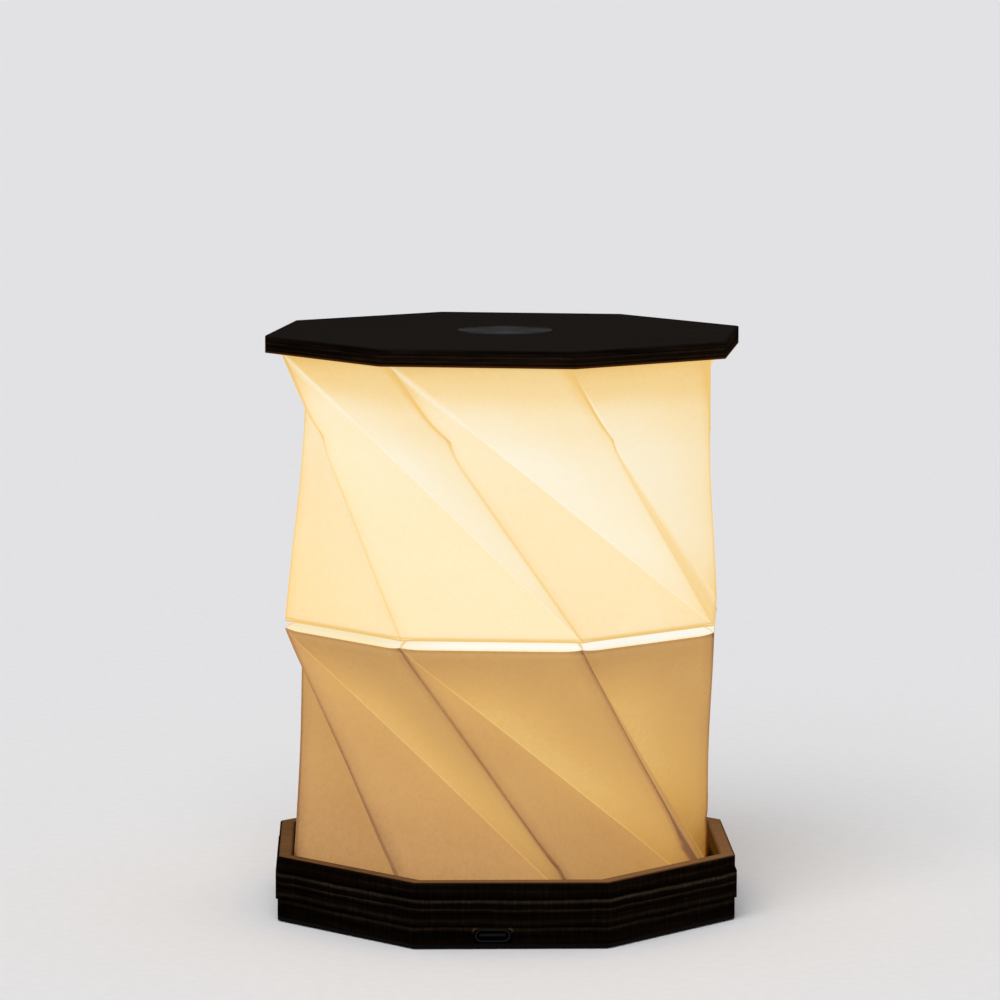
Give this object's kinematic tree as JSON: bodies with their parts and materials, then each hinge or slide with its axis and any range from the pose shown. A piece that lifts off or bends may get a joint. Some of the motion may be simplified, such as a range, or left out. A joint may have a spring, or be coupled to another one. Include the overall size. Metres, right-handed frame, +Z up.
{
  "type": "pleated paper table lamp",
  "caption": "Eight-sided lamp: a plywood tray, a two-storey twist-fold paper shade and a lid that turns and drops into the tray's rim when the shade is folded away.",
  "frame": {"origin": "on the table, under the middle of the base", "axes": "+Z up, -Y the side of the base with the charging port, +X to the right seen from there"},
  "size_m": [0.126, 0.126, 0.1534],
  "materials": {
    "plywood_edge": "laser-cut edge of dark plywood, matt",
    "dark_plywood": "matt dark stain",
    "lid_black": "matt black stain",
    "shade_paper": "translucent fibre paper, lit from inside",
    "ring_card": "plain card",
    "spun_aluminium": "fine turned rings",
    "nickel_steel": "bright nickel plate",
    "dark_steel": "dark nickel plate",
    "zinc_screw": "zinc plate",
    "black_plastic": "moulded, fine texture",
    "white_plastic": "moulded nylon",
    "circuit_board": "green solder mask",
    "light_board_white": "white solder mask on aluminium",
    "emitter": "yellow phosphor",
    "cell_wrap": "foil pouch",
    "foam_tape": "closed-cell foam",
    "foot_pad": "soft pad",
    "grommet_rubber": "soft rubber",
    "lead_sheath": "white silicone sheath"
  },
  "bodies": {
    "base": {"bottom_plate": "dark_plywood", "bottom_screws": "zinc_screw", "feet": "foot_pad", "base_housing": "plywood_edge", "lower_ring": "plywood_edge", "middle_ring": "plywood_edge", "rim_ring": "plywood_edge", "rim_magnets": "nickel_steel", "tray_floor": "dark_plywood", "lead_grommet": "grommet_rubber", "port_shell": "dark_steel", "port_tongue": "black_plastic", "charge_board": "circuit_board", "board_tape": "foam_tape", "board_socket": "white_plastic", "battery": "cell_wrap", "battery_tape": "foam_tape", "battery_tabs": "nickel_steel", "inner_lead": "lead_sheath"},
    "lower_storey": {"lower_shade": "shade_paper"},
    "middle": {"mid_ring": "ring_card", "waist_pleat": "shade_paper"},
    "upper_storey": {"upper_shade": "shade_paper"},
    "lid": {"lid_board": "lid_black", "lid_top": "lid_black", "touch_disc": "spun_aluminium", "touch_contact": "nickel_steel", "light_board": "light_board_white", "light_screws": "zinc_screw", "light_emitters": "emitter", "lid_magnets": "nickel_steel", "lid_plug": "white_plastic"}
  },
  "joints": [
    {"name": "lower_fold", "type": "slide", "parent": "base", "child": "lower_storey", "axis": [0, 0, -1], "range_m": [0, 0.06557], "deforming": ["lower_shade", "inner_lead"]},
    {"name": "mid_turn", "type": "hinge", "parent": "lower_storey", "child": "middle", "pos_m": [0, 0, 0.0762], "axis": [0, 0, -1], "range_deg": [0, 39.8]},
    {"name": "upper_fold", "type": "slide", "parent": "middle", "child": "upper_storey", "axis": [0, 0, -1], "range_m": [0, 0.06557], "deforming": ["upper_shade", "waist_pleat"]},
    {"name": "lid_turn", "type": "hinge", "parent": "upper_storey", "child": "lid", "pos_m": [0, 0, 0.14865], "axis": [0, 0, -1], "range_deg": [0, 41.6]}
  ],
  "couplings": [
    {"joint": "mid_turn", "follows": "lower_fold", "rad_per_m": 10.593},
    {"joint": "upper_fold", "follows": "lower_fold", "ratio": 1},
    {"joint": "lid_turn", "follows": "lower_fold", "rad_per_m": 11.072}
  ]
}
